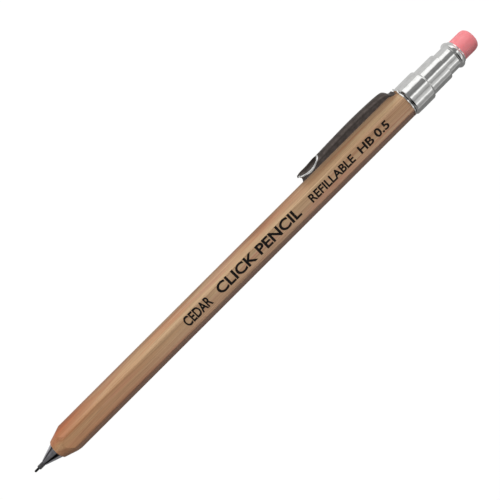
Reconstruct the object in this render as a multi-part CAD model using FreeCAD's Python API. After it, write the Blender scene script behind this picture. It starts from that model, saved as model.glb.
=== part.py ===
"""A push-button mechanical pencil in a hexagonal cedar barrel, with a pocket clip and an eraser.

The pencil lies along X, with its tip at the low end. The barrel has a flat facet facing up and one facing
down, and corners on the Y axis. The clip is on the +Y side, turned a little up from the corner. Every place
below is a distance in millimetres from the front of the guide pipe, towards the eraser, and every height is
a distance from the pencil's axis. The finished solids are moved at the end, so that the origin is under the
middle of the pencil.
"""
import FreeCAD, Part
import math
import os

from FreeCAD import Vector

ORIGIN = Vector(0, 0, 0)
ALONG = Vector(1, 0, 0)

# Fits. Glued and pressed pieces have a hairline between them, sliding ones a running clearance.
HAIRLINE = 0.02
GLUE_GAP = 0.03
RUNNING = 0.05

# Lead and its tip.
LEAD_RADIUS = 0.28
LEAD_FRONT = -1.3
LEAD_LENGTH = 45.0
SPARE_LEAD_LENGTH = 60.0
SPARE_LEAD_COUNT = 3
SPARE_LEAD_OFFSET = 0.8
SPARE_LEAD_FRONT = 38.0

# Guide pipe and turned metal tip.
PIPE_RADIUS = 0.55
PIPE_EDGE = 0.1
PIPE_BORE = 0.32
PIPE_REAR = 3.6
CONE_FRONT = 1.6
CONE_FRONT_RADIUS = 0.65
CONE_EDGE = 0.12
CONE_REAR = 5.95
CONE_REAR_RADIUS = 2.12
SPIGOT_RADIUS = 1.70
SPIGOT_REAR = 14.0
RETAINER_RADIUS = 0.90
RETAINER_REAR = 5.2
NOSE_BORE = 1.10
NOSE_REAR = 8.8
RING_BORE = 1.30

# Hexagonal cedar barrel.
WOOD_FRONT = 6.0
WOOD_REAR = 114.9
ACROSS_FLATS = 6.5
CORNER_ROUND = 0.5
SHARPENED_RADIUS = 2.42
SHARPENED_HALF_ANGLE = 18.0
SHARPENED_END = 12.0
WOOD_BORE = 2.15
INSERT_FRONT = 7.0
INSERT_REAR = 15.9
LINER_FRONT = 16.0
LINER_REAR = 106.0
LINER_BORE = 1.85
COUNTERBORE = 2.65

# Chuck, clutch ring, sleeve and spring.
CHUCK_FRONT = 8.4
CHUCK_REAR = 27.0
CHUCK_BORE = 0.31
HEAD_RADIUS = 0.93
HEAD_CHAMFER = 0.2
HEAD_TAPER_FRONT = 9.4
HEAD_REAR = 10.8
HEAD_REAR_RADIUS = 0.76
NECK_STEP = 0.15
NECK_RADIUS = 0.60
NECK_REAR = 14.8
TAIL_STEP = 0.1
TAIL_RADIUS = 0.72
JAW_COUNT = 3
JAW_SLOT = 0.16
JAW_SLOT_REAR = 18.0
CLUTCH_FRONT = 9.55
CLUTCH_REAR = 10.95
CLUTCH_RADIUS = 1.22
CLUTCH_EDGE = 0.12
CLUTCH_GAP = 0.07
SLEEVE_FRONT = 11.0
SLEEVE_NOSE_RADIUS = 1.25
SLEEVE_SHOULDER_FRONT = 14.3
SLEEVE_REAR = 27.0
SPRING_SEAT = 14.5
SPRING_CHAMBER = 1.25
SPRING_RADIUS = 1.0
SPRING_WIRE = 0.13
SPRING_TURNS = 13

# Connector and lead tube.
CONNECTOR_FRONT = 24.6
CONNECTOR_STEP = 30.3
CONNECTOR_REAR = 37.0
CONNECTOR_NOSE_RADIUS = 1.15
FUNNEL_THROAT = 0.40
FUNNEL_MOUTH = 1.20
TUBE_FRONT = 31.5
TUBE_REAR = 121.9
TUBE_RADIUS = 1.50
TUBE_BORE = 1.20

# Clip ring, spacer ring and stepped end ferrule.
RING_REAR = 115.2
RING_RADIUS = 3.6
TAB_TOP = 4.2
TAB_WIDTH = 2.0
SPACER_REAR = 115.4
SPACER_RADIUS = 3.5
FERRULE_RADIUS = 3.90
FERRULE_CHAMFER = 0.4
FERRULE_CHAMFER_REAR = 115.8
FERRULE_STEP = 120.9
FERRULE_STEP_RADIUS = 3.40
FERRULE_REAR = 126.6
FERRULE_CAVITY = 3.00
FERRULE_FLOOR_REAR = 116.45
FERRULE_EDGE = 0.30
FERRULE_SPIGOT_FRONT = 106.8
FERRULE_SPIGOT_BORE = 2.35
GUIDE_FLANGE = 0.45
GUIDE_REAR = 113.0

# Push cap and eraser.
CAP_FRONT = 119.5
CAP_RADIUS = 2.95
CAP_BORE = 2.72
RIM_FRONT = 129.7
RIM_RADIUS = 3.45
CAP_REAR = 131.3
RIM_ROUND = 0.6
CORE_FRONT = 119.6
CORE_FLOOR = 122.0
CORE_REAR = 124.0
ERASER_FRONT = 124.2
ERASER_REAR = 135.9
ERASER_EDGE = 1.1

# Pocket clip, measured with the clip straight up: each row is a place along the strip, the height of its
# arched back there, and the height of its two feet.
CLIP_LINE = (
    (86.35, 5.92, 4.92),
    (88.5, 6.08, 4.95),
    (92.7, 6.27, 4.95),
    (97.5, 6.46, 4.95),
    (103.2, 6.57, 4.95),
    (108.2, 6.41, 4.95),
    (111.1, 6.16, 4.90),
    (112.4, 5.80, 4.70),
    (113.2, 5.10, 4.30),
    (114.0, 4.42, 3.90),
)
CLIP_TURN = 16.5
CLIP_WIDTH = 3.3
CLIP_THICKNESS = 0.35
CLIP_SHOULDER = 0.85
CLIP_ROOT_PLACE = 114.25
CLIP_ROOT_HEIGHT = 4.05
CLIP_ROOT_RADIUS = 0.4
DIMPLE_PLACE = 89.2
DIMPLE_HEIGHT = 6.05
DIMPLE_SOLE = 4.4
DIMPLE_LENGTH = 6.2
DIMPLE_WIDTH = 2.9

MIDDLE_PLACE = (LEAD_FRONT + ERASER_REAR) / 2


def rod(front, rear, radius):
    """A round bar on the pencil's axis."""
    return Part.makeCylinder(radius, rear - front, Vector(front, 0, 0), ALONG)


def taper(front, rear, front_radius, rear_radius):
    """A cone on the pencil's axis."""
    return Part.makeCone(front_radius, rear_radius, rear - front, Vector(front, 0, 0), ALONG)


def tube(front, rear, radius, bore):
    """A round tube on the pencil's axis."""
    return rod(front, rear, radius).cut(rod(front, rear, bore))


def turned(*outline):
    """A solid turned about the pencil's axis, from the (place, radius) corners of its half section."""
    corners = [Vector(place, radius, 0) for place, radius in outline]
    section = Part.Face(Part.makePolygon(corners + corners[:1]))
    return section.revolve(ORIGIN, ALONG, 360)


def joined(*shapes):
    """Several solids made into one, with the seams between them removed."""
    return shapes[0].multiFuse(list(shapes[1:])).removeSplitter()


def rounded(shape, size, *rims):
    """A turned solid with the circular edges at the given (place, radius) rims rounded."""
    edges = [
        edge
        for edge in shape.Edges
        for place, radius in rims
        if isinstance(edge.Curve, Part.Circle)
        and abs(edge.Curve.Center.x - place) < HAIRLINE / 2
        and abs(edge.Curve.Radius - radius) < HAIRLINE / 2
    ]
    return shape.makeFillet(size, edges)


def lead():
    """The lead in use, from the writing tip back past the chuck."""
    return rod(LEAD_FRONT, LEAD_FRONT + LEAD_LENGTH, LEAD_RADIUS)


def spare_leads():
    """Loose leads stored side by side in the lead tube."""
    leads = []
    for number in range(SPARE_LEAD_COUNT):
        angle = 2 * math.pi * number / SPARE_LEAD_COUNT
        middle = Vector(0, math.cos(angle), math.sin(angle)) * SPARE_LEAD_OFFSET
        stick = rod(SPARE_LEAD_FRONT, SPARE_LEAD_FRONT + SPARE_LEAD_LENGTH, LEAD_RADIUS)
        stick.translate(middle)
        leads.append(stick)
    return Part.makeCompound(leads)


def guide_pipe():
    """The thin steel pipe that the lead comes out of."""
    pipe = tube(0, PIPE_REAR, PIPE_RADIUS, PIPE_BORE)
    return rounded(pipe, PIPE_EDGE, (0, PIPE_RADIUS))


def tip_cone():
    """The turned nose, with a spigot that screws into the barrel and chambers for what is inside it."""
    nose = taper(CONE_FRONT, CONE_REAR, CONE_FRONT_RADIUS, CONE_REAR_RADIUS)
    spigot = rod(CONE_REAR - HAIRLINE, SPIGOT_REAR, SPIGOT_RADIUS)
    body = joined(nose, spigot)
    body = rounded(body, CONE_EDGE, (CONE_FRONT, CONE_FRONT_RADIUS))
    for front, rear, bore in (
        (CONE_FRONT, PIPE_REAR, PIPE_RADIUS + HAIRLINE),
        (PIPE_REAR, RETAINER_REAR, RETAINER_RADIUS),
        (RETAINER_REAR, NOSE_REAR, NOSE_BORE),
        (NOSE_REAR, SPIGOT_REAR, RING_BORE),
    ):
        body = body.cut(rod(front, rear, bore))
    return body


def lead_retainer():
    """The soft ring that keeps the lead from falling out while the chuck is open."""
    front = PIPE_REAR + RUNNING
    rear = RETAINER_REAR - RUNNING
    return tube(front, rear, RETAINER_RADIUS - HAIRLINE, LEAD_RADIUS + HAIRLINE)


def hexagonal_bar(front, rear):
    """A bar with rounded corners, two of them on the Y axis."""
    corner_radius = ACROSS_FLATS / 2 / math.cos(math.pi / 6)
    corners = []
    for number in range(7):
        angle = number * math.pi / 3
        corners.append(Vector(front, corner_radius * math.cos(angle), corner_radius * math.sin(angle)))
    bar = Part.Face(Part.makePolygon(corners)).extrude(Vector(rear - front, 0, 0))
    long_edges = [edge for edge in bar.Edges if edge.Length > corner_radius * 2]
    return bar.makeFillet(CORNER_ROUND, long_edges)


def wooden_barrel():
    """The cedar barrel, sharpened at the front and bored right through."""
    grown = (SHARPENED_END - WOOD_FRONT) * math.tan(math.radians(SHARPENED_HALF_ANGLE))
    end_radius = SHARPENED_RADIUS + grown
    point = taper(WOOD_FRONT, SHARPENED_END, SHARPENED_RADIUS, end_radius)
    envelope = joined(point, rod(SHARPENED_END, WOOD_REAR, end_radius))
    wood = hexagonal_bar(WOOD_FRONT, WOOD_REAR).common(envelope)
    wood = wood.cut(rod(WOOD_FRONT, INSERT_FRONT, SPIGOT_RADIUS + RUNNING))
    wood = wood.cut(rod(INSERT_FRONT, LINER_REAR, WOOD_BORE))
    return wood.cut(rod(LINER_REAR, WOOD_REAR, COUNTERBORE))


def threaded_insert():
    """The brass bush in the front of the wood, which the tip screws into."""
    return tube(INSERT_FRONT + HAIRLINE, INSERT_REAR, WOOD_BORE - GLUE_GAP, SPIGOT_RADIUS + RUNNING)


def barrel_liner():
    """The thin brass tube that lines the wood."""
    return tube(LINER_FRONT, LINER_REAR - HAIRLINE, WOOD_BORE - GLUE_GAP, LINER_BORE)


def chuck():
    """The brass collet: a tapered head and a long tail, slit into three jaws."""
    body = turned(
        (CHUCK_FRONT, CHUCK_BORE),
        (CHUCK_FRONT, HEAD_REAR_RADIUS),
        (CHUCK_FRONT + HEAD_CHAMFER, HEAD_RADIUS),
        (HEAD_TAPER_FRONT, HEAD_RADIUS),
        (HEAD_REAR, HEAD_REAR_RADIUS),
        (HEAD_REAR + NECK_STEP, NECK_RADIUS),
        (NECK_REAR, NECK_RADIUS),
        (NECK_REAR + TAIL_STEP, TAIL_RADIUS),
        (CHUCK_REAR, TAIL_RADIUS),
        (CHUCK_REAR, CHUCK_BORE),
    )
    length = JAW_SLOT_REAR - CHUCK_FRONT
    depth = HEAD_RADIUS + CHUCK_BORE
    for number in range(JAW_COUNT):
        slot = Part.makeBox(length, depth, JAW_SLOT, Vector(CHUCK_FRONT, 0, -JAW_SLOT / 2))
        slot.rotate(ORIGIN, ALONG, 360 * number / JAW_COUNT)
        body = body.cut(slot)
    return body


def clutch_ring():
    """The ring whose tapered bore closes the jaws."""
    slope = (HEAD_RADIUS - HEAD_REAR_RADIUS) / (HEAD_REAR - HEAD_TAPER_FRONT)
    front_bore = HEAD_RADIUS - slope * (CLUTCH_FRONT - HEAD_TAPER_FRONT) + CLUTCH_GAP
    rear_bore = HEAD_RADIUS - slope * (CLUTCH_REAR - HEAD_TAPER_FRONT) + CLUTCH_GAP
    ring = rod(CLUTCH_FRONT, CLUTCH_REAR, CLUTCH_RADIUS)
    ring = rounded(ring, CLUTCH_EDGE, (CLUTCH_FRONT, CLUTCH_RADIUS), (CLUTCH_REAR, CLUTCH_RADIUS))
    return ring.cut(taper(CLUTCH_FRONT, CLUTCH_REAR, front_bore, rear_bore))


def chuck_sleeve():
    """The fixed sleeve that guides the chuck and holds the spring."""
    nose = rod(SLEEVE_FRONT, LINER_FRONT, SLEEVE_NOSE_RADIUS)
    shoulder = rod(SLEEVE_SHOULDER_FRONT, LINER_FRONT + HAIRLINE, SPIGOT_RADIUS - HAIRLINE)
    body = rod(LINER_FRONT + HAIRLINE, SLEEVE_REAR, LINER_BORE - GLUE_GAP)
    sleeve = joined(nose, shoulder, body)
    sleeve = sleeve.cut(rod(SLEEVE_FRONT, SPRING_SEAT, TAIL_RADIUS + RUNNING))
    return sleeve.cut(rod(SPRING_SEAT, SLEEVE_REAR, SPRING_CHAMBER))


def return_spring():
    """The coil spring between the sleeve's seat and the connector."""
    front = SPRING_SEAT + SPRING_WIRE + HAIRLINE
    rear = CONNECTOR_FRONT - SPRING_WIRE - HAIRLINE
    length = rear - front
    coil = Part.makeHelix(length / SPRING_TURNS, length, SPRING_RADIUS)
    wire = Part.Wire(Part.makeCircle(SPRING_WIRE, Vector(SPRING_RADIUS, 0, 0), Vector(0, 1, 0)))
    spring = Part.Wire(coil.Edges).makePipeShell([wire], True, True)
    spring.rotate(ORIGIN, Vector(0, 1, 0), 90)
    spring.translate(Vector(front, 0, 0))
    return spring


def chuck_connector():
    """The brass joiner: the chuck's tail is pressed in its nose, and the lead tube in its rear."""
    body = joined(
        rod(CONNECTOR_FRONT, CONNECTOR_STEP, CONNECTOR_NOSE_RADIUS),
        rod(CONNECTOR_STEP, CONNECTOR_REAR, LINER_BORE - 2 * RUNNING),
    )
    body = body.cut(rod(CONNECTOR_FRONT, CHUCK_REAR + RUNNING, TAIL_RADIUS + HAIRLINE))
    body = body.cut(rod(CHUCK_REAR + RUNNING, CONNECTOR_STEP, FUNNEL_THROAT))
    body = body.cut(taper(CONNECTOR_STEP, TUBE_FRONT - HAIRLINE, FUNNEL_THROAT, FUNNEL_MOUTH))
    return body.cut(rod(TUBE_FRONT - HAIRLINE, CONNECTOR_REAR, TUBE_RADIUS + GLUE_GAP))


def lead_tube():
    """The plastic tube that stores the spare leads and carries the push forward."""
    return tube(TUBE_FRONT, TUBE_REAR, TUBE_RADIUS, TUBE_BORE)


def tube_guide():
    """The flanged plastic bush in the ferrule's spigot, which keeps the lead tube central."""
    flange_front = FERRULE_SPIGOT_FRONT - GUIDE_FLANGE
    flange = rod(flange_front, FERRULE_SPIGOT_FRONT - HAIRLINE, COUNTERBORE - RUNNING)
    body = rod(flange_front, GUIDE_REAR, FERRULE_SPIGOT_BORE - GLUE_GAP)
    return joined(flange, body).cut(rod(flange_front, GUIDE_REAR, TUBE_RADIUS + RUNNING))


def clip_ring():
    """The thin washer behind the wood, with the tab that the clip springs from."""
    front = WOOD_REAR + HAIRLINE
    rear = RING_REAR - HAIRLINE
    tab = Part.makeBox(rear - front, TAB_TOP, TAB_WIDTH, Vector(front, 0, -TAB_WIDTH / 2))
    ring = joined(rod(front, rear, RING_RADIUS), tab).cut(rod(front, rear, COUNTERBORE))
    ring.rotate(ORIGIN, ALONG, CLIP_TURN)
    return ring


def spacer_ring():
    """The thin dark ring between the clip ring and the ferrule."""
    return tube(RING_REAR, SPACER_REAR - HAIRLINE, SPACER_RADIUS, COUNTERBORE)


def end_ferrule():
    """The bright stepped sleeve, with a spigot pressed into the rear of the wood."""
    chamfer = taper(SPACER_REAR, FERRULE_CHAMFER_REAR, FERRULE_RADIUS - FERRULE_CHAMFER, FERRULE_RADIUS)
    large = rod(FERRULE_CHAMFER_REAR, FERRULE_STEP, FERRULE_RADIUS)
    large = rounded(large, FERRULE_EDGE, (FERRULE_STEP, FERRULE_RADIUS))
    small = rod(FERRULE_STEP - FERRULE_EDGE, FERRULE_REAR, FERRULE_STEP_RADIUS)
    small = rounded(small, FERRULE_EDGE / 2, (FERRULE_REAR, FERRULE_STEP_RADIUS))
    spigot = rod(FERRULE_SPIGOT_FRONT, SPACER_REAR, COUNTERBORE - RUNNING)
    ferrule = joined(chamfer, large, small, spigot)
    ferrule = ferrule.cut(rod(FERRULE_SPIGOT_FRONT, FERRULE_REAR, FERRULE_SPIGOT_BORE))
    return ferrule.cut(rod(FERRULE_FLOOR_REAR, FERRULE_REAR, FERRULE_CAVITY))


def knock_cap():
    """The push cap, a thin metal cup with a rolled rim round the eraser."""
    shell = rod(CAP_FRONT, CAP_REAR, CAP_RADIUS)
    rim = rod(RIM_FRONT, CAP_REAR, RIM_RADIUS)
    rim = rounded(rim, RIM_ROUND, (RIM_FRONT, RIM_RADIUS), (CAP_REAR, RIM_RADIUS))
    cap = joined(shell, rim)
    return cap.cut(rod(CAP_FRONT, CAP_REAR, CAP_BORE))


def cap_core():
    """The plastic plug in the cap: it grips the lead tube in front and carries the eraser behind."""
    core = rod(CORE_FRONT, CORE_REAR, CAP_BORE - GLUE_GAP)
    return core.cut(rod(CORE_FRONT, CORE_FLOOR, TUBE_RADIUS + GLUE_GAP))


def eraser():
    """The rubber plug held in the cap."""
    plug = rod(ERASER_FRONT, ERASER_REAR, CAP_BORE - GLUE_GAP)
    return rounded(plug, ERASER_EDGE, (ERASER_REAR, CAP_BORE - GLUE_GAP))


def arch_section(place, top, foot, half_width):
    """The closed outline of the clip's arch at one place: a round back on two short walls."""
    shoulder = top - CLIP_SHOULDER * (top - foot)
    left_foot = Vector(place, foot, -half_width)
    left_top = Vector(place, shoulder, -half_width)
    right_top = Vector(place, shoulder, half_width)
    right_foot = Vector(place, foot, half_width)
    back = Part.Arc(left_top, Vector(place, top, 0), right_top).toShape()
    left_wall = Part.makeLine(left_foot, left_top)
    right_wall = Part.makeLine(right_top, right_foot)
    return Part.Wire([left_wall, back, right_wall, Part.makeLine(right_foot, left_foot)])


def arch_body(inset, drop):
    """The clip's arch as a full solid, smaller all round by the inset, its feet lowered by the drop."""
    half_width = CLIP_WIDTH / 2 - inset
    sections = [
        arch_section(place, top - inset, foot - drop, half_width) for place, top, foot in CLIP_LINE
    ]
    return Part.makeLoft(sections, True, False)


def dimple_bowl(wall):
    """The boat-shaped bowl pressed into the clip's free end: its hollow, or its outside with a wall."""
    bowl = Part.makeSphere(1.0)
    depth = DIMPLE_HEIGHT - DIMPLE_SOLE - CLIP_THICKNESS + wall
    scale = FreeCAD.Matrix()
    scale.scale(DIMPLE_LENGTH / 2 + wall, depth, DIMPLE_WIDTH / 2 + wall)
    bowl = bowl.transformGeometry(scale)
    bowl.translate(Vector(DIMPLE_PLACE, DIMPLE_HEIGHT, 0))
    return bowl


def clip_arm():
    """The arched spring strip, with a pressed dimple at its free end and a round root at the other."""
    strip = arch_body(0, 0).cut(arch_body(CLIP_THICKNESS, CLIP_THICKNESS))
    below_back = arch_body(0, DIMPLE_HEIGHT)
    strip = strip.fuse(dimple_bowl(CLIP_THICKNESS).common(below_back))
    strip = strip.cut(dimple_bowl(0))
    root_width = CLIP_WIDTH - 2 * CLIP_THICKNESS
    root_middle = Vector(CLIP_ROOT_PLACE, CLIP_ROOT_HEIGHT, -root_width / 2)
    root = Part.makeCylinder(CLIP_ROOT_RADIUS, root_width, root_middle, Vector(0, 0, 1))
    strip = strip.fuse(root)
    strip.rotate(ORIGIN, ALONG, CLIP_TURN)
    return strip


PIECES = (
    lead,
    spare_leads,
    guide_pipe,
    tip_cone,
    lead_retainer,
    wooden_barrel,
    threaded_insert,
    barrel_liner,
    chuck,
    clutch_ring,
    chuck_sleeve,
    return_spring,
    chuck_connector,
    lead_tube,
    tube_guide,
    clip_ring,
    clip_arm,
    spacer_ring,
    end_ferrule,
    knock_cap,
    cap_core,
    eraser,
)

shapes = {piece.__name__: piece() for piece in PIECES}
clip_side = shapes["clip_arm"].optimalBoundingBox().YMax
to_origin = Vector(-MIDDLE_PLACE, (FERRULE_RADIUS - clip_side) / 2, FERRULE_RADIUS)

os.makedirs("parts", exist_ok=True)
for name, shape in shapes.items():
    shape.translate(to_origin)
    shape.exportStep("parts/" + name + ".step")
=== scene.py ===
"""The looks of a cedar mechanical pencil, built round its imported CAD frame.

Lengths are in millimetres, turned into metres by MM, unless a comment says otherwise. A "place" is a
distance along the pencil from the front of the guide pipe, and a "height" is a distance from the pencil's
axis. Colours are given as sRGB levels from 0 to 255.
"""
import math

import bmesh
import bpy
from mathutils import Matrix, Vector, noise


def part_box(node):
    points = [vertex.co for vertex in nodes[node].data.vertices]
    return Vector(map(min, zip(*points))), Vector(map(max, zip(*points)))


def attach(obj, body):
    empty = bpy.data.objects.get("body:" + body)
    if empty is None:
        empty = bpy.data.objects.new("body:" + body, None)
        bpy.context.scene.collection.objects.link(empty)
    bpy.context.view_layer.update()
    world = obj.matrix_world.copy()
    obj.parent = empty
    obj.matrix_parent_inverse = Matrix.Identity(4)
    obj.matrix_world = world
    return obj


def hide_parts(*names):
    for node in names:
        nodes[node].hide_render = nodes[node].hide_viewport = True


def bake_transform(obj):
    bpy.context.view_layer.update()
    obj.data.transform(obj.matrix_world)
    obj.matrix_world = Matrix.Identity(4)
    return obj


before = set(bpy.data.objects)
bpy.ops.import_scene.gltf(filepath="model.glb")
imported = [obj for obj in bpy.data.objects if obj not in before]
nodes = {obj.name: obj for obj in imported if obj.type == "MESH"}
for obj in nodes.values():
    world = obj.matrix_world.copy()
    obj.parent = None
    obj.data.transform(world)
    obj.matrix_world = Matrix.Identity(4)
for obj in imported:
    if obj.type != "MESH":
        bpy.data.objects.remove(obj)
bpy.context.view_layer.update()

MM = 0.001

# The pencil's axis and its zero place, read from the frame.
FERRULE_LOW, FERRULE_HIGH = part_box("end_ferrule")
WOOD_LOW, WOOD_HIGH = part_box("wooden_barrel")
AXIS = (FERRULE_LOW + FERRULE_HIGH) / 2
AXIS.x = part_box("guide_pipe")[0].x
FACET_HEIGHT = (WOOD_HIGH.z - WOOD_LOW.z) / 2 / MM

# Camera and studio.
CAMERA_ROLL = math.radians(44.93)
CAMERA_TILT = math.radians(13.5)
CAMERA_DISTANCE = 167.6
CAMERA_LENS = 54.1
CAMERA_AIM = (67.6, 1.19)
CAMERA_NEAREST = 10.0
FLOOR_SIZE = 3000.0
SHADOW_SHARE = 0.10
FLOOR_WHITE = 1.05
KEY_ANGLE = math.radians(50.0)
KEY_DISTANCE = 500.0
KEY_SIZE = 260.0
KEY_POWER = 1.65

# The floor as the pencil reflects it, from (Y, sRGB level) to (Y, sRGB level): beside the pencil, and
# ahead of its tip. The one gives way to the other between the two X values of FLOOR_AHEAD.
FLOOR_GLOW = ((-6.0, 125), (1.0, 205))
FLOOR_GLOW_AHEAD = ((-6.0, 150), (1.0, 70))
FLOOR_AHEAD = (-70.0, -74.0)

# Brightness of the studio round the pencil's axis: (degrees from straight up, towards -Y, sRGB level).
STUDIO_BANDS = (
    (-90, 240), (-66, 255), (-57, 240), (-50, 128), (-22, 116), (-9, 252), (2, 168), (12, 158),
    (18, 138), (30, 182), (40, 196), (49, 242), (60, 158), (70, 140), (90, 160),
)
# The same for what lies past the pencil's tip, which its cone reflects.
FRONT_BANDS = (
    (-90, 105), (-70, 140), (-51, 122), (-30, 108), (-9, 114), (10, 95), (24, 58),
    (36, 20), (48, 6), (62, 6), (74, 50), (90, 125),
)
STUDIO_GAIN = 1.2
# The X part of a direction, where the front bands begin and where they are all that is seen.
FRONT_START = -0.1
FRONT_END = -0.5

# Wood. Its growth rings are cut at a slant, given as the share of Y and of Z in a ring's depth.
RING_SLANT = (0.82, 0.55)
RING_WANDER = 5.0
RING_SPACING = 1.55
# Where its tones change, each from none to full: along X, or across from the axis.
WARM_END = (-18.0, -58.0)
NOSE = (-46.0, -57.0)
CLIP_SIDE = (1.2, 3.0)
# Painted shade: a darker, pinker tone on the side away from the clip and the key light.
PINK_SHADE_SIDE = (0.8, -2.6)
# Painted shade: darkening along the barrel's two side edges.
RIDGE_SHADE = (3.0, 3.7)

# Surfaces of metal and plastic.
TURNING_PITCH = 0.09
TURNING_DEPTH = 0.002
MOULD_MOTTLE = 0.16
MOULD_GRAIN = 0.006

# Pocket clip: (place, height of the arched back, height of the feet), then its dimple.
CLIP_ROWS = (
    (86.35, 5.92, 4.92),
    (88.5, 6.08, 4.95),
    (92.7, 6.27, 4.95),
    (97.5, 6.46, 4.95),
    (103.2, 6.57, 4.95),
    (108.2, 6.41, 4.95),
    (111.1, 6.16, 4.95),
    (112.4, 5.86, 4.90),
    (113.0, 5.30, 4.66),
    (113.4, 4.62, 4.18),
    (113.8, 4.38, 4.00),
    (114.6, 4.34, 3.96),
)
CLIP_TURN = math.radians(16.5)
CLIP_THICKNESS = 0.35
CLIP_HALF_WIDTH = 1.65
CLIP_ROOT_HALF_WIDTH = 1.10
CLIP_NARROWING = (112.6, 113.6)
# The power of the arched section: 1 is half an ellipse, and less is squarer.
CLIP_ROUNDNESS = 0.85
# The free end slopes: its arched back starts this much behind its feet.
CLIP_RAKE = 0.4
RAKE_LENGTH = 3.0
CLIP_EDGE = 0.08
CLIP_EDGE_STEPS = 3
CLIP_EDGE_ANGLE = math.radians(55)
DIMPLE_PLACE = 89.2
DIMPLE_HALF_LENGTH = 3.1
DIMPLE_HALF_WIDTH = 1.45
DIMPLE_HEIGHT = 6.05
DIMPLE_DEPTH = 1.3
DIMPLE_FULLNESS = 0.7
DIMPLE_END = 92.8
RIM_HEIGHT = 0.10
RIM_SPREAD = 0.08
# A painted highlight: near-white metal on a band this wide along the dimple's rim, on its near side only,
# up to the angle below.
RIM_WIDTH = 0.11
RIM_HIGHLIGHT_TO = math.radians(100)
CLIP_STEPS = 108
FINE_STEP = 0.05
COARSE_STEP = 0.2

# Imprint on the top facet: (words, first place, last place, letter height, shift towards the clip).
LABELS = (
    ("CEDAR", 46.2, 53.9, 2.5, 0.55),
    ("CLICK PENCIL", 56.3, 81.3, 2.55, 0.55),
    ("REFILLABLE", 84.7, 98.0, 2.0, 0.4),
    ("HB 0.5", 99.8, 108.6, 2.0, 0.4),
)
INK_THICKNESS = 0.012
# These two are in the font's own units, before the letters are scaled to their places.
LETTER_WEIGHT = 0.028
LETTER_BODY = 0.01

# Return spring, inside the chuck sleeve.
COIL_ENDS = (14.66, 24.44)
COIL_TURNS = 12
CLOSED_PITCH = 0.28
COIL_RADIUS = 1.0
WIRE_RADIUS = 0.13
COIL_STEPS = 32
WIRE_STEPS = 10

# Thread on the tip's spigot.
THREAD_FRONT = 7.2
THREAD_PITCH = 0.5
THREAD_TURNS = 13
THREAD_ROOT = 1.69
THREAD_DEPTH = 0.05
THREAD_HALF_CREST = 0.17
THREAD_STEPS = 48

# Ends and main radii of the turned pieces.
SPIGOT_FRONT = 106.8
SPIGOT_BORE = 2.35
FERRULE_FLOOR = 116.45
FERRULE_REAR = 126.6
CAP_FRONT = 119.5
CAP_REAR = 131.3
CAP_BORE = 2.73
CAP_RADIUS = 2.95
BEAD_RADIUS = 3.44
ERASER_FRONT = 124.2
ERASER_REAR = 135.9
ERASER_RADIUS = 2.69
LEAD_FRONT = -1.3
LEAD_REAR = 43.7
LEAD_RADIUS = 0.28

# The eraser's uneven surface, behind the cap's lip.
ERASER_SHOWS_FROM = 131.4
ERASER_LUMPS_PER_METRE = 900
ERASER_LUMP_HEIGHT = 0.04

# Meshes: steps round a turned piece and along an eased corner, and the lengths that count as nothing.
TURN_STEPS = 128
CORNER_STEPS = 5
MERGE_DISTANCE = 0.001
EMPTY_EDGE = 0.0005


# ---------------------------------------------------------------- places and colours


def at(place, height=0.0, turn=0.0, across=0.0):
    """A point in the row frame. The height is measured from the axis, along +Y turned up by the angle."""
    outward = Vector((0, math.cos(turn), math.sin(turn)))
    sideways = Vector((0, -math.sin(turn), math.cos(turn)))
    return AXIS + (Vector((place, 0, 0)) + outward * height + sideways * across) * MM


def linear(level):
    """The linear value of one sRGB level from 0 to 255."""
    share = level / 255
    if share <= 0.04045:
        return share / 12.92
    return ((share + 0.055) / 1.055) ** 2.4


def colour(red, green, blue):
    """A linear colour with full alpha from three sRGB levels."""
    return (linear(red), linear(green), linear(blue), 1.0)


def grey(level):
    """A neutral colour from one sRGB level."""
    return colour(level, level, level)


def dimmed(tint, share):
    """A colour with only this share of its light."""
    return tuple(part * share for part in tint[:3]) + (1.0,)


# ---------------------------------------------------------------- shader helpers


def add(tree, kind, inputs=None, **settings):
    """A new node. Each input takes a plain value, or another node's output to link from."""
    made = tree.nodes.new(kind)
    for name, value in settings.items():
        setattr(made, name, value)
    for name, value in (inputs or {}).items():
        socket = made.inputs[name]
        if isinstance(value, bpy.types.NodeSocket):
            tree.links.new(value, socket)
        else:
            socket.default_value = value
    return made


def stretched(tree, scale):
    """The place on the object in millimetres, multiplied along each axis by the scale."""
    place = add(tree, "ShaderNodeTexCoord").outputs["Object"]
    per_metre = [part / MM for part in scale]
    return add(tree, "ShaderNodeMapping", {"Vector": place, "Scale": per_metre}).outputs["Vector"]


def noise_field(tree, scale, detail=3.0, roughness=0.5):
    """Smooth random values from 0 to 1, with that many features to a millimetre along each axis."""
    inputs = {
        "Vector": stretched(tree, scale),
        "Scale": 1.0,
        "Detail": detail,
        "Roughness": roughness,
    }
    return add(tree, "ShaderNodeTexNoise", inputs).outputs["Fac"]


def ramp(tree, value, stops, interpolation="LINEAR"):
    """Colours looked up by a value, from (value, colour) stops."""
    made = add(tree, "ShaderNodeValToRGB", {"Fac": value})
    made.color_ramp.interpolation = interpolation
    points = made.color_ramp.elements
    while len(points) < len(stops):
        points.new(1.0)
    for point, (where, tint) in zip(points, stops):
        point.position = where
        point.color = tint
    return made.outputs["Color"]


def limits(tree, value, low, high, to_low=0.0, to_high=1.0):
    """A value carried from one range to another and kept inside it."""
    inputs = {"Value": value, "From Min": low, "From Max": high, "To Min": to_low, "To Max": to_high}
    return add(tree, "ShaderNodeMapRange", inputs).outputs["Result"]


def maths(tree, operation, first, second=0.0):
    """One arithmetic step on two values."""
    made = add(tree, "ShaderNodeMath", operation=operation)
    for socket, value in zip(made.inputs, (first, second)):
        if isinstance(value, bpy.types.NodeSocket):
            tree.links.new(value, socket)
        else:
            socket.default_value = value
    return made.outputs["Value"]


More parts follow.
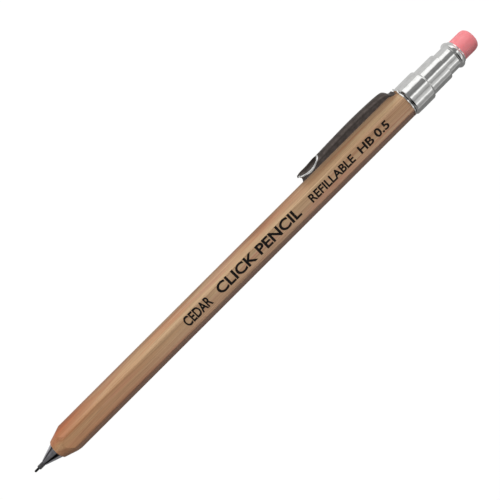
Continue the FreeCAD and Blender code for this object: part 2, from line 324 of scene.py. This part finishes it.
def mixed(tree, share, first, second, blend_type="MIX"):
    """Two colours mixed."""
    made = add(tree, "ShaderNodeMix", data_type="RGBA", blend_type=blend_type)
    factor, low, high = made.inputs[0], made.inputs[6], made.inputs[7]
    for socket, value in ((factor, share), (low, first), (high, second)):
        if isinstance(value, bpy.types.NodeSocket):
            tree.links.new(value, socket)
        else:
            socket.default_value = value
    return made.outputs[2]


def stained(tree, tint, where, strength, stain):
    """A colour with a stain over it, as strong as that where the value is 1 and absent where it is 0."""
    share = maths(tree, "MULTIPLY", where, strength)
    return mixed(tree, share, tint, stain)


def mixed_shaders(tree, share, first, second):
    """Two shaders mixed."""
    made = add(tree, "ShaderNodeMixShader", {"Fac": share})
    tree.links.new(first, made.inputs[1])
    tree.links.new(second, made.inputs[2])
    return made.outputs["Shader"]


def bumps(tree, height, depth, under=None):
    """A bumped normal, as deep as that many millimetres, over another one if given."""
    inputs = {"Height": height, "Distance": depth * MM, "Strength": 1.0}
    if under:
        inputs["Normal"] = under
    return add(tree, "ShaderNodeBump", inputs).outputs["Normal"]


def blank_material(name):
    """A material with an empty node tree."""
    material = bpy.data.materials.new(name)
    material.use_nodes = True
    material.node_tree.nodes.clear()
    return material, material.node_tree


def shade(tree, inputs):
    """The Principled shader with these inputs, led to the material's output."""
    shader = add(tree, "ShaderNodeBsdfPrincipled", inputs)
    add(tree, "ShaderNodeOutputMaterial", {"Surface": shader.outputs["BSDF"]})


# ---------------------------------------------------------------- materials


def cedar_rings(tree, across, upward):
    """The growth rings' dark late wood, from 0 to 1. Each ring darkens slowly and ends sharply."""
    wander = noise_field(tree, (0.012, 0.15, 0.15), detail=2.0)
    sideways_part = maths(tree, "MULTIPLY", across, RING_SLANT[0])
    upward_part = maths(tree, "MULTIPLY", upward, RING_SLANT[1])
    depth = maths(tree, "ADD", sideways_part, upward_part)
    depth = maths(tree, "ADD", depth, maths(tree, "MULTIPLY", wander, RING_WANDER))
    rings = maths(tree, "FRACT", maths(tree, "DIVIDE", depth, RING_SPACING))
    ring_stops = (
        (0.0, grey(0)), (0.55, grey(60)), (0.88, grey(190)), (0.95, grey(255)), (1.0, grey(0)),
    )
    return ramp(tree, rings, ring_stops)


def cedar_streaks(tree, tint):
    """Red and pink streaks along the grain."""
    red = noise_field(tree, (0.035, 0.9, 0.9), detail=2.0, roughness=0.55)
    tint = stained(tree, tint, limits(tree, red, 0.57, 0.71), 0.50, colour(186, 104, 70))
    pink = noise_field(tree, (0.05, 0.7, 0.7), detail=2.0)
    return stained(tree, tint, limits(tree, pink, 0.52, 0.70), 0.40, colour(190, 138, 120))


def cedar_tones(tree, tint, along, across):
    """Slow changes of tone: painted shade, darker and pinker, on the side away from the clip, warmer
    towards the tip, and painted shade along the side ridges.
    """
    # Painted shade: darker and pinker on the side away from the clip.
    tint = stained(tree, tint, limits(tree, across, *PINK_SHADE_SIDE), 0.45, colour(160, 112, 102))
    tint = stained(tree, tint, limits(tree, along, *WARM_END), 0.45, colour(186, 122, 74))
    nose = limits(tree, along, *NOSE)
    clip_side = limits(tree, across, *CLIP_SIDE)
    tint = stained(tree, tint, maths(tree, "MULTIPLY", nose, clip_side), 0.6, colour(184, 94, 54))
    # Painted shade: the wood darkens towards its two side edges.
    off_axis = maths(tree, "ABSOLUTE", across)
    return stained(tree, tint, limits(tree, off_axis, *RIDGE_SHADE), 0.55, colour(92, 60, 46))


def cedar():
    """Lacquered cedar: growth rings, red and pink streaks, fine grain and dark pores."""
    material, tree = blank_material("cedar_wood")
    separate = add(tree, "ShaderNodeSeparateXYZ", {"Vector": stretched(tree, (1, 1, 1))})
    along, upward = separate.outputs["X"], separate.outputs["Z"]
    across = maths(tree, "SUBTRACT", separate.outputs["Y"], AXIS.y / MM)
    late_wood = cedar_rings(tree, across, upward)

    patches = noise_field(tree, (0.02, 0.5, 0.5), detail=3.0, roughness=0.6)
    body_stops = (
        (0.28, colour(172, 126, 96)),
        (0.45, colour(190, 152, 116)),
        (0.60, colour(202, 170, 132)),
        (0.75, colour(212, 182, 152)),
    )
    tint = ramp(tree, patches, body_stops)
    tint = stained(tree, tint, late_wood, 0.48, colour(146, 98, 68))
    tint = cedar_streaks(tree, tint)
    tint = cedar_tones(tree, tint, along, across)

    fibres = noise_field(tree, (0.09, 6.0, 6.0), detail=5.0, roughness=0.65)
    fibre_stops = ((0.25, grey(150)), (0.5, grey(232)), (0.72, grey(255)))
    tint = mixed(tree, 0.7, tint, ramp(tree, fibres, fibre_stops), "MULTIPLY")
    pores = noise_field(tree, (0.30, 11.0, 11.0), detail=2.0)
    pore_share = maths(tree, "MULTIPLY", limits(tree, pores, 0.66, 0.76), 0.55)
    tint = mixed(tree, pore_share, tint, colour(92, 60, 44))

    normal = bumps(tree, fibres, 0.012)
    normal = bumps(tree, maths(tree, "SUBTRACT", 1.0, pore_share), 0.010, normal)
    shade(tree, {
        "Base Color": tint,
        "Roughness": limits(tree, fibres, 0.3, 0.7, 0.56, 0.42),
        "Specular IOR Level": 0.35,
        "Coat Weight": 0.12,
        "Coat Roughness": 0.28,
        "Normal": normal,
    })
    return material


def plated(name, tint, roughness, dents=0.004, spots=0.25):
    """Plated metal: waves from pressing, finer hairline scratches along it and faint cloudy spots."""
    material, tree = blank_material(name)
    waves = noise_field(tree, (0.55, 0.35, 0.35), detail=2.0)
    hairlines = noise_field(tree, (0.4, 14.0, 14.0), detail=3.0, roughness=0.6)
    clouds = noise_field(tree, (0.9, 0.9, 0.9), detail=4.0, roughness=0.6)
    normal = bumps(tree, waves, dents * 10)
    normal = bumps(tree, hairlines, dents / 8, normal)
    shade(tree, {
        "Base Color": ramp(tree, clouds, ((0.35, dimmed(tint, 1 - spots)), (0.6, tint))),
        "Metallic": 1.0,
        "Roughness": limits(tree, clouds, 0.3, 0.7, roughness * 1.4, roughness * 0.8),
        "Normal": normal,
    })
    return material


def turned_metal(name, tint, roughness):
    """Metal turned on a lathe: fine rings round the axis, and a little uneven staining."""
    material, tree = blank_material(name)
    rings = noise_field(tree, (1 / TURNING_PITCH, 0.02, 0.02), detail=2.0, roughness=0.7)
    clouds = noise_field(tree, (0.7, 0.7, 0.7), detail=3.0)
    shade(tree, {
        "Base Color": ramp(tree, clouds, ((0.35, dimmed(tint, 0.72)), (0.62, tint))),
        "Metallic": 1.0,
        "Roughness": limits(tree, rings, 0.25, 0.75, roughness * 0.75, roughness * 1.35),
        "Normal": bumps(tree, rings, TURNING_DEPTH),
    })
    return material


def moulded(name, tint, roughness, transmission=0.0):
    """Plastic or rubber: a fine moulded grain and slight mottling."""
    material, tree = blank_material(name)
    clouds = noise_field(tree, (0.8, 0.8, 0.8), detail=4.0)
    fine = noise_field(tree, (7.0, 7.0, 7.0), detail=3.0)
    shade(tree, {
        "Base Color": ramp(tree, clouds, ((0.35, dimmed(tint, 1 - MOULD_MOTTLE)), (0.65, tint))),
        "Roughness": limits(tree, fine, 0.3, 0.7, roughness * 0.85, min(1.0, roughness * 1.15)),
        "Transmission Weight": transmission,
        "Normal": bumps(tree, fine, MOULD_GRAIN),
    })
    return material


def pink_rubber():
    """Eraser rubber: pink, matt and powdery, with darker specks."""
    material, tree = blank_material("pink_eraser_rubber")
    clouds = noise_field(tree, (0.45, 0.45, 0.45), detail=4.0)
    tint = ramp(tree, clouds, ((0.3, colour(230, 132, 138)), (0.7, colour(242, 150, 154))))
    specks = noise_field(tree, (4.2, 4.2, 4.2), detail=2.0)
    tint = stained(tree, tint, limits(tree, specks, 0.66, 0.74), 0.15, colour(196, 96, 104))
    powder = noise_field(tree, (9.0, 9.0, 9.0), detail=4.0, roughness=0.7)
    dusting = ramp(tree, powder, ((0.3, grey(190)), (0.6, grey(255))))
    shade(tree, {
        "Base Color": mixed(tree, 0.12, tint, dusting, "MULTIPLY"),
        "Roughness": 0.85,
        "Specular IOR Level": 0.25,
        "Subsurface Weight": 0.35,
        "Subsurface Radius": (1.6 * MM, 0.5 * MM, 0.45 * MM),
        "Subsurface Scale": 1.0,
        "Normal": bumps(tree, powder, 0.02),
    })
    return material


def graphite():
    """Pencil lead: nearly black with a metallic grey sheen and fine lines along it."""
    material, tree = blank_material("graphite_lead")
    lines = noise_field(tree, (0.8, 22.0, 22.0), detail=3.0)
    shade(tree, {
        "Base Color": ramp(tree, lines, ((0.3, grey(14)), (0.7, grey(40)))),
        "Metallic": 0.55,
        "Roughness": limits(tree, lines, 0.3, 0.7, 0.34, 0.5),
        "Normal": bumps(tree, lines, 0.003),
    })
    return material


def printing_ink():
    """Black ink stamped on wood: a little thin and brown where the grain takes it unevenly."""
    material, tree = blank_material("black_ink")
    fibres = noise_field(tree, (0.35, 7.0, 7.0), detail=4.0, roughness=0.65)
    worn_stops = ((0.5, grey(16)), (0.70, colour(52, 40, 34)), (0.84, colour(92, 70, 54)))
    shade(tree, {
        "Base Color": ramp(tree, fibres, worn_stops),
        "Roughness": 0.7,
        "Specular IOR Level": 0.12,
        "Normal": bumps(tree, fibres, 0.004),
    })
    return material


# ---------------------------------------------------------------- meshes


def placed(name, data):
    """A new object with this data, in the scene."""
    made = bpy.data.objects.new(name, data)
    bpy.context.scene.collection.objects.link(made)
    return made


def skin(name, rows, wrap):
    """A mesh of quads over rows of points. Rows that wrap are closed rings."""
    count = len(rows[0])
    points = [point for row in rows for point in row]
    faces = []
    for row in range(len(rows) - 1):
        for step in range(count if wrap else count - 1):
            following = (step + 1) % count
            low, high = row * count, (row + 1) * count
            faces.append((low + step, high + step, high + following, low + following))
    mesh = bpy.data.meshes.new(name)
    mesh.from_pydata(points, [], faces)
    return placed(name, mesh)


def tidy_mesh(piece):
    """Merges points that lie together, drops empty faces, turns faces outward and shades smooth."""
    shape = bmesh.new()
    shape.from_mesh(piece.data)
    bmesh.ops.remove_doubles(shape, verts=shape.verts, dist=MERGE_DISTANCE * MM)
    bmesh.ops.dissolve_degenerate(shape, edges=shape.edges, dist=EMPTY_EDGE * MM)
    bmesh.ops.recalc_face_normals(shape, faces=shape.faces)
    shape.to_mesh(piece.data)
    shape.free()
    piece.data.shade_smooth()


def settle(piece):
    """Applies the piece's modifiers, so that its mesh is final."""
    ready = piece.evaluated_get(bpy.context.evaluated_depsgraph_get())
    piece.data = bpy.data.meshes.new_from_object(ready)
    piece.modifiers.clear()


def eased(corners):
    """An outline of (place, radius) points from (place, radius, rounding) corners, each corner eased."""
    points = []
    for number, (place, radius, rounding) in enumerate(corners):
        corner = Vector((place, radius))
        if not rounding or number in (0, len(corners) - 1):
            points.append(corner)
            continue
        before = Vector(corners[number - 1][:2]) - corner
        after = Vector(corners[number + 1][:2]) - corner
        start = corner + before.normalized() * rounding
        end = corner + after.normalized() * rounding
        for step in range(CORNER_STEPS + 1):
            share = step / CORNER_STEPS
            points.append(start * (1 - share) ** 2 + corner * 2 * share * (1 - share) + end * share**2)
    return points


def lathe(name, corners):
    """A turned piece from the corners of its half section."""
    rows = []
    for place, radius in eased(corners):
        angles = (2 * math.pi * step / TURN_STEPS for step in range(TURN_STEPS))
        rows.append([at(place, radius, angle) for angle in angles])
    piece = skin(name, rows, True)
    tidy_mesh(piece)
    return piece


def finish_piece(piece, body, material, slot, *replaced):
    """Gives a piece its material and body, and hides the CAD nodes it stands for. The slot is not used.
    """
    piece.data.materials.clear()
    piece.data.materials.append(material)
    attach(piece, body)
    if replaced:
        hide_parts(*replaced)


# ---------------------------------------------------------------- pocket clip


def clip_row(place):
    """The clip's back and foot heights at a place, on a smooth curve through its rows."""
    rows = CLIP_ROWS
    number = max(index for index in range(len(rows) - 1) if rows[index][0] <= place)
    start, end = rows[number], rows[number + 1]
    before = rows[max(number - 1, 0)]
    after = rows[min(number + 2, len(rows) - 1)]
    length = end[0] - start[0]
    share = (place - start[0]) / length
    heights = []
    for column in (1, 2):
        leave = (end[column] - before[column]) / (end[0] - before[0]) * length
        arrive = (after[column] - start[column]) / (after[0] - start[0]) * length
        heights.append(
            start[column] * (2 * share**3 - 3 * share**2 + 1)
            + leave * (share**3 - 2 * share**2 + share)
            + end[column] * (3 * share**2 - 2 * share**3)
            + arrive * (share**3 - share**2)
        )
    return heights


def dimple_reach(place, across):
    """How far a point is from the dimple's middle, where 1 is on its rim."""
    return math.hypot((place - DIMPLE_PLACE) / DIMPLE_HALF_LENGTH, across / DIMPLE_HALF_WIDTH)


def clip_point(place, angle):
    """A point on the clip's outer face. The angle goes from one foot over the back to the other."""
    top, foot = clip_row(place)
    wide, narrow = CLIP_NARROWING
    narrowing = min(1.0, max(0.0, (place - wide) / (narrow - wide)))
    half_width = CLIP_HALF_WIDTH + (CLIP_ROOT_HALF_WIDTH - CLIP_HALF_WIDTH) * narrowing
    across = half_width * math.cos(angle)
    height = foot + (top - foot) * math.sin(angle) ** CLIP_ROUNDNESS
    reach = dimple_reach(place, across)
    if reach < 1:
        floor = DIMPLE_HEIGHT - DIMPLE_DEPTH * (1 - reach**2) ** DIMPLE_FULLNESS
        height = min(height, floor)
    bead = RIM_HEIGHT * math.exp(-(((reach - 1) / RIM_SPREAD) ** 2))
    from_end = (place - CLIP_ROWS[0][0]) / RAKE_LENGTH
    rake = CLIP_RAKE * math.sin(angle) * max(0.0, 1 - from_end)
    return at(place + rake, height + bead * math.sin(angle), CLIP_TURN, across)


def clip_places():
    """Places along the clip, close together round the dimple."""
    first, last = CLIP_ROWS[0][0], CLIP_ROWS[-1][0]
    fine = [first + FINE_STEP * step for step in range(int((DIMPLE_END - first) / FINE_STEP))]
    coarse_count = int((last - DIMPLE_END) / COARSE_STEP) + 1
    coarse = [DIMPLE_END + COARSE_STEP * step for step in range(coarse_count)]
    return fine + coarse


def pocket_clip(plate, edge):
    """The springy clip: an arched strip with a dimple and a rolled rim, with a painted highlight along
    the rim on one side.
    """
    angles = [math.pi * step / CLIP_STEPS for step in range(CLIP_STEPS + 1)]
    places = clip_places()
    rows = [[clip_point(place, angle) for angle in angles] for place in places]
    clip = skin("pocket_clip", rows, False)
    clip.data.materials.append(plate)
    clip.data.materials.append(edge)
    for face in clip.data.polygons:
        row, step = divmod(face.index, CLIP_STEPS)
        place = (places[row] + places[row + 1]) / 2
        angle = (angles[step] + angles[step + 1]) / 2
        reach = dimple_reach(place, CLIP_HALF_WIDTH * math.cos(angle))
        # Painted highlight: the near side of the dimple's rim gets the near-white metal.
        if abs(reach - 1) < RIM_WIDTH and angle < RIM_HIGHLIGHT_TO:
            face.material_index = 1
    wall = clip.modifiers.new("wall", "SOLIDIFY")
    wall.thickness = CLIP_THICKNESS * MM
    wall.offset = -1.0
    edges = clip.modifiers.new("edges", "BEVEL")
    edges.width = CLIP_EDGE * MM
    edges.segments = CLIP_EDGE_STEPS
    edges.limit_method = "ANGLE"
    edges.angle_limit = CLIP_EDGE_ANGLE
    settle(clip)
    clip.data.shade_smooth()
    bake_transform(clip)
    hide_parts("clip_arm")


# ---------------------------------------------------------------- imprint


def imprint(number, words, first, last, letter_height, shift, ink):
    """One line of letters, a thin layer of ink on the top facet."""
    text = bpy.data.curves.new("words", "FONT")
    text.body = words
    text.extrude = LETTER_BODY
    text.offset = LETTER_WEIGHT
    writing = placed("words", text)
    ready = writing.evaluated_get(bpy.context.evaluated_depsgraph_get())
    mesh = bpy.data.meshes.new_from_object(ready)
    bpy.data.objects.remove(writing)
    low = Vector([min(point.co[axis] for point in mesh.vertices) for axis in range(3)])
    high = Vector([max(point.co[axis] for point in mesh.vertices) for axis in range(3)])
    size = Vector((last - first, letter_height, INK_THICKNESS))
    scale = [size[axis] / (high[axis] - low[axis]) * MM for axis in range(3)]
    corner = AXIS + Vector((first, shift - letter_height / 2, FACET_HEIGHT)) * MM
    mesh.transform(Matrix.Translation(corner) @ Matrix.Diagonal((*scale, 1)) @ Matrix.Translation(-low))
    finish_piece(placed(f"imprint_{number}", mesh), "barrel", ink, "graphite")


# ---------------------------------------------------------------- turned pieces
#
# What lathe turns is a half section, as corners of (place, radius, rounding).


def eraser_plug(material):
    """The rubber plug, with a rounded rear edge and a slightly uneven, used surface."""
    corners = (
        (ERASER_FRONT, 0, 0), (ERASER_FRONT, ERASER_RADIUS, 0.1), (ERASER_SHOWS_FROM, ERASER_RADIUS, 0),
        (132.3, 2.72, 0.6), (133.6, 2.72, 0.6), (ERASER_REAR, 2.68, 1.2), (ERASER_REAR, 1.0, 0),
        (ERASER_REAR, 0, 0),
    )
    plug = lathe("eraser_plug", corners)
    for point in plug.data.vertices:
        place = (point.co.x - AXIS.x) / MM
        if place > ERASER_SHOWS_FROM:
            wobble = noise.noise(point.co * ERASER_LUMPS_PER_METRE) * ERASER_LUMP_HEIGHT
            outward = Vector((0, point.co.y - AXIS.y, point.co.z - AXIS.z)).normalized()
            point.co += outward * wobble * MM
    finish_piece(plug, "eraser", material, "eraser_rubber", "eraser")


def lead_stick(material):
    """The lead in use, with its writing end worn round."""
    corners = (
        (LEAD_FRONT, 0, 0), (LEAD_FRONT, 0.13, 0.05), (-1.12, LEAD_RADIUS, 0.12),
        (LEAD_REAR, LEAD_RADIUS, 0.03), (LEAD_REAR, 0, 0),
    )
    finish_piece(lathe("lead_stick", corners), "lead", material, "graphite", "lead")


def ferrule_sleeve(material):
    """The stepped sleeve: a rolled mouth, two plain steps with eased shoulders, and its spigot."""
    corners = (
        (SPIGOT_FRONT, SPIGOT_BORE, 0), (SPIGOT_FRONT, 2.6, 0.05), (115.4, 2.6, 0), (115.4, 3.5, 0.06),
        (115.75, 3.87, 0.16), (117.6, 3.89, 0.3), (120.85, 3.89, 0.25), (121.15, 3.42, 0.15),
        (FERRULE_REAR, 3.4, 0.14), (FERRULE_REAR, 3.02, 0.05), (FERRULE_FLOOR, 3.0, 0.1),
        (FERRULE_FLOOR, SPIGOT_BORE, 0), (SPIGOT_FRONT, SPIGOT_BORE, 0),
    )
    finish_piece(lathe("ferrule_sleeve", corners), "barrel", material, "bright_steel", "end_ferrule")


def cap_shell(material):
    """The push cap: a thin cup with a rolled bead just in front of its lip."""
    corners = (
        (CAP_FRONT, CAP_BORE, 0), (CAP_FRONT, CAP_RADIUS, 0.08), (129.65, CAP_RADIUS, 0.2),
        (129.95, BEAD_RADIUS, 0.3), (130.6, BEAD_RADIUS, 0.32), (131.0, 2.97, 0.18),
        (CAP_REAR, 2.94, 0.07), (CAP_REAR, CAP_BORE, 0.06), (CAP_FRONT, CAP_BORE, 0),
    )
    finish_piece(lathe("cap_shell", corners), "cap", material, "bright_steel", "knock_cap")


def tip_thread(material):
    """The fine thread on the tip's spigot, seen when the tip is screwed out."""
    rows = []
    for step in range(THREAD_TURNS * THREAD_STEPS + 1):
        turn = step / THREAD_STEPS
        middle = THREAD_FRONT + THREAD_PITCH * turn
        crest = THREAD_ROOT + THREAD_DEPTH * min(1.0, turn, THREAD_TURNS - turn)
        profile = (
            (middle - THREAD_HALF_CREST, THREAD_ROOT),
            (middle, crest),
            (middle + THREAD_HALF_CREST, THREAD_ROOT),
        )
        rows.append([at(place, radius, 2 * math.pi * turn) for place, radius in profile])
    thread = skin("tip_thread", rows, True)
    tidy_mesh(thread)
    finish_piece(thread, "tip", material, "tip_metal")


def return_coil(material):
    """The return spring: an open coil with closed end turns."""
    front, rear = COIL_ENDS
    pitch = (rear - front - 2 * CLOSED_PITCH) / COIL_TURNS
    rows = []
    for step in range((COIL_TURNS + 2) * COIL_STEPS + 1):
        turn = step / COIL_STEPS
        open_turns = min(max(turn - 1, 0), COIL_TURNS)
        middle = front + open_turns * pitch + (turn - open_turns) * CLOSED_PITCH
        around = (2 * math.pi * part / WIRE_STEPS for part in range(WIRE_STEPS))
        profile = [(WIRE_RADIUS * math.sin(angle), WIRE_RADIUS * math.cos(angle)) for angle in around]
        spin = 2 * math.pi * turn
        rows.append([at(middle + along, COIL_RADIUS + out, spin) for along, out in profile])
    first_middle, last_middle = (sum(rows[end], Vector()) / WIRE_STEPS for end in (0, -1))
    closed_rows = [[first_middle] * WIRE_STEPS, *rows, [last_middle] * WIRE_STEPS]
    coil = skin("return_coil", closed_rows, True)
    tidy_mesh(coil)
    coil.data.materials.append(material)
    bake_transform(coil)
    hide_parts("return_spring")


# ---------------------------------------------------------------- studio


def round_axis(tree):
    """A world direction's angle round the pencil's axis as a value from 0 to 1, and its X part."""
    direction = add(tree, "ShaderNodeTexCoord").outputs["Generated"]
    parts = add(tree, "ShaderNodeSeparateXYZ", {"Vector": direction})
    sideways = maths(tree, "MULTIPLY", parts.outputs["Y"], -1.0)
    angle = maths(tree, "ARCTAN2", sideways, parts.outputs["Z"])
    return limits(tree, angle, -math.pi, math.pi), parts.outputs["X"]


def bands(tree, angle, stops):
    """Grey bands looked up by an angle round the axis."""
    return ramp(tree, angle, [((degrees + 180) / 360, grey(level)) for degrees, level in stops], "EASE")


def studio():
    """Light and dark panels round the pencil, darker past its tip. The camera sees plain white."""
    world = bpy.data.worlds.new("studio")
    world.use_nodes = True
    tree = world.node_tree
    tree.nodes.clear()
    angle, forward = round_axis(tree)
    front_share = limits(tree, forward, FRONT_START, FRONT_END)
    panels = mixed(tree, front_share, bands(tree, angle, STUDIO_BANDS), bands(tree, angle, FRONT_BANDS))
    lit = add(tree, "ShaderNodeBackground", {"Color": panels, "Strength": STUDIO_GAIN})
    plain = add(tree, "ShaderNodeBackground", {"Color": grey(255), "Strength": 1.0})
    seen = add(tree, "ShaderNodeLightPath").outputs["Is Camera Ray"]
    either = mixed_shaders(tree, seen, lit.outputs["Background"], plain.outputs["Background"])
    add(tree, "ShaderNodeOutputWorld", {"Surface": either})
    bpy.context.scene.world = world


def floor_glow(tree, across, glow):
    """The floor's brightness as the pencil reflects it, from one side of the pencil to the other."""
    (low, low_level), (high, high_level) = glow
    stops = ((0.0, grey(low_level)), (1.0, grey(high_level)))
    return ramp(tree, limits(tree, across, low, high), stops)


def pale_floor():
    """A floor that is plain white to the camera, with a faint soft shadow, and dimmer to the pencil."""
    half = FLOOR_SIZE / 2 * MM
    mesh = bpy.data.meshes.new("floor")
    corners = [(-half, -half, 0), (half, -half, 0), (half, half, 0), (-half, half, 0)]
    mesh.from_pydata(corners, [], [(0, 1, 2, 3)])
    floor = placed("floor", mesh)
    material, tree = blank_material("white_floor")
    glow = add(tree, "ShaderNodeEmission", {"Color": grey(255), "Strength": FLOOR_WHITE})
    matt = add(tree, "ShaderNodeBsdfDiffuse", {"Color": grey(250)})
    seen_floor = mixed_shaders(tree, SHADOW_SHARE, glow.outputs["Emission"], matt.outputs["BSDF"])
    place = add(tree, "ShaderNodeSeparateXYZ", {"Vector": stretched(tree, (1, 1, 1))})
    beside = floor_glow(tree, place.outputs["Y"], FLOOR_GLOW)
    ahead = floor_glow(tree, place.outputs["Y"], FLOOR_GLOW_AHEAD)
    ahead_share = limits(tree, place.outputs["X"], *FLOOR_AHEAD)
    dim_colour = mixed(tree, ahead_share, beside, ahead)
    dim = add(tree, "ShaderNodeEmission", {"Color": dim_colour, "Strength": 1.0})
    seen = add(tree, "ShaderNodeLightPath").outputs["Is Camera Ray"]
    either = mixed_shaders(tree, seen, dim.outputs["Emission"], seen_floor)
    add(tree, "ShaderNodeOutputMaterial", {"Surface": either})
    mesh.materials.append(material)


def key_light():
    """One large soft light above the clip's side."""
    lamp = bpy.data.lights.new("key", "AREA")
    lamp.size = KEY_SIZE * MM
    lamp.energy = KEY_POWER
    key = placed("key", lamp)
    direction = Vector((0, math.sin(KEY_ANGLE), math.cos(KEY_ANGLE)))
    key.location = direction * KEY_DISTANCE * MM
    key.rotation_euler = direction.to_track_quat("Z", "Y").to_euler()
    key.visible_glossy = False
    lamp.use_shadow = False


def camera():
    """The viewpoint: nearly straight down, with the pencil rising from lower left to upper right."""
    lens = bpy.data.cameras.new("camera")
    lens.lens = CAMERA_LENS
    lens.clip_start = CAMERA_NEAREST * MM
    viewer = placed("camera", lens)
    back = Vector((0, math.sin(CAMERA_TILT), math.cos(CAMERA_TILT)))
    sideways = Vector((0, math.cos(CAMERA_TILT), -math.sin(CAMERA_TILT)))
    ahead = Vector((1, 0, 0))
    right = ahead * math.cos(CAMERA_ROLL) - sideways * math.sin(CAMERA_ROLL)
    up = ahead * math.sin(CAMERA_ROLL) + sideways * math.cos(CAMERA_ROLL)
    place, shift = CAMERA_AIM
    aim = AXIS + Vector((place, 0, 0)) * MM + sideways * shift * MM
    turned = Matrix((right, up, back)).transposed().to_4x4()
    viewer.matrix_world = Matrix.Translation(aim + back * CAMERA_DISTANCE * MM) @ turned
    bpy.context.scene.camera = viewer


# ---------------------------------------------------------------- the pencil


def main():
    """Dresses the CAD nodes, makes the visual pieces, then sets up the studio and the camera."""
    wood = cedar()
    chrome = plated("bright_plate", colour(244, 244, 242), 0.06, spots=0.12)
    clip_plate = plated("dark_nickel", colour(98, 90, 86), 0.36, dents=0.001)
    # Near-white metal for the painted highlight along the clip's dimple rim.
    clip_rim_highlight = plated("painted_highlight_edge", colour(252, 252, 250), 0.30, dents=0.0, spots=0.04)
    steel = turned_metal("turned_steel", colour(204, 202, 208), 0.09)
    pipe_steel = turned_metal("drawn_steel", colour(128, 126, 128), 0.2)
    wire = turned_metal("spring_wire", colour(180, 182, 186), 0.30)
    brass = turned_metal("turned_brass", colour(205, 172, 106), 0.26)
    lead = graphite()
    black_rubber = moulded("black_rubber", grey(46), 0.7)
    black_plastic = moulded("black_plastic", grey(38), 0.42)
    milky_plastic = moulded("milky_plastic", colour(226, 228, 222), 0.36, transmission=0.35)
    kept_nodes = {
        "wooden_barrel": wood, "guide_pipe": pipe_steel, "tip_cone": steel, "lead_retainer": black_rubber,
        "threaded_insert": brass, "barrel_liner": brass, "chuck": brass, "clutch_ring": steel,
        "chuck_sleeve": brass, "chuck_connector": brass, "lead_tube": milky_plastic,
        "tube_guide": black_plastic, "clip_ring": chrome, "spacer_ring": black_plastic,
        "cap_core": black_plastic, "spare_leads": lead,
    }
    for name, material in kept_nodes.items():
        for slot in nodes[name].material_slots:
            slot.material = material
    pocket_clip(clip_plate, clip_rim_highlight)
    eraser_plug(pink_rubber())
    lead_stick(lead)
    ferrule_sleeve(chrome)
    cap_shell(chrome)
    tip_thread(steel)
    return_coil(wire)
    ink = printing_ink()
    for number, label in enumerate(LABELS, 1):
        imprint(number, *label, ink)
    studio()
    pale_floor()
    key_light()
    camera()
    bpy.context.scene.view_settings.view_transform = "Standard"


main()
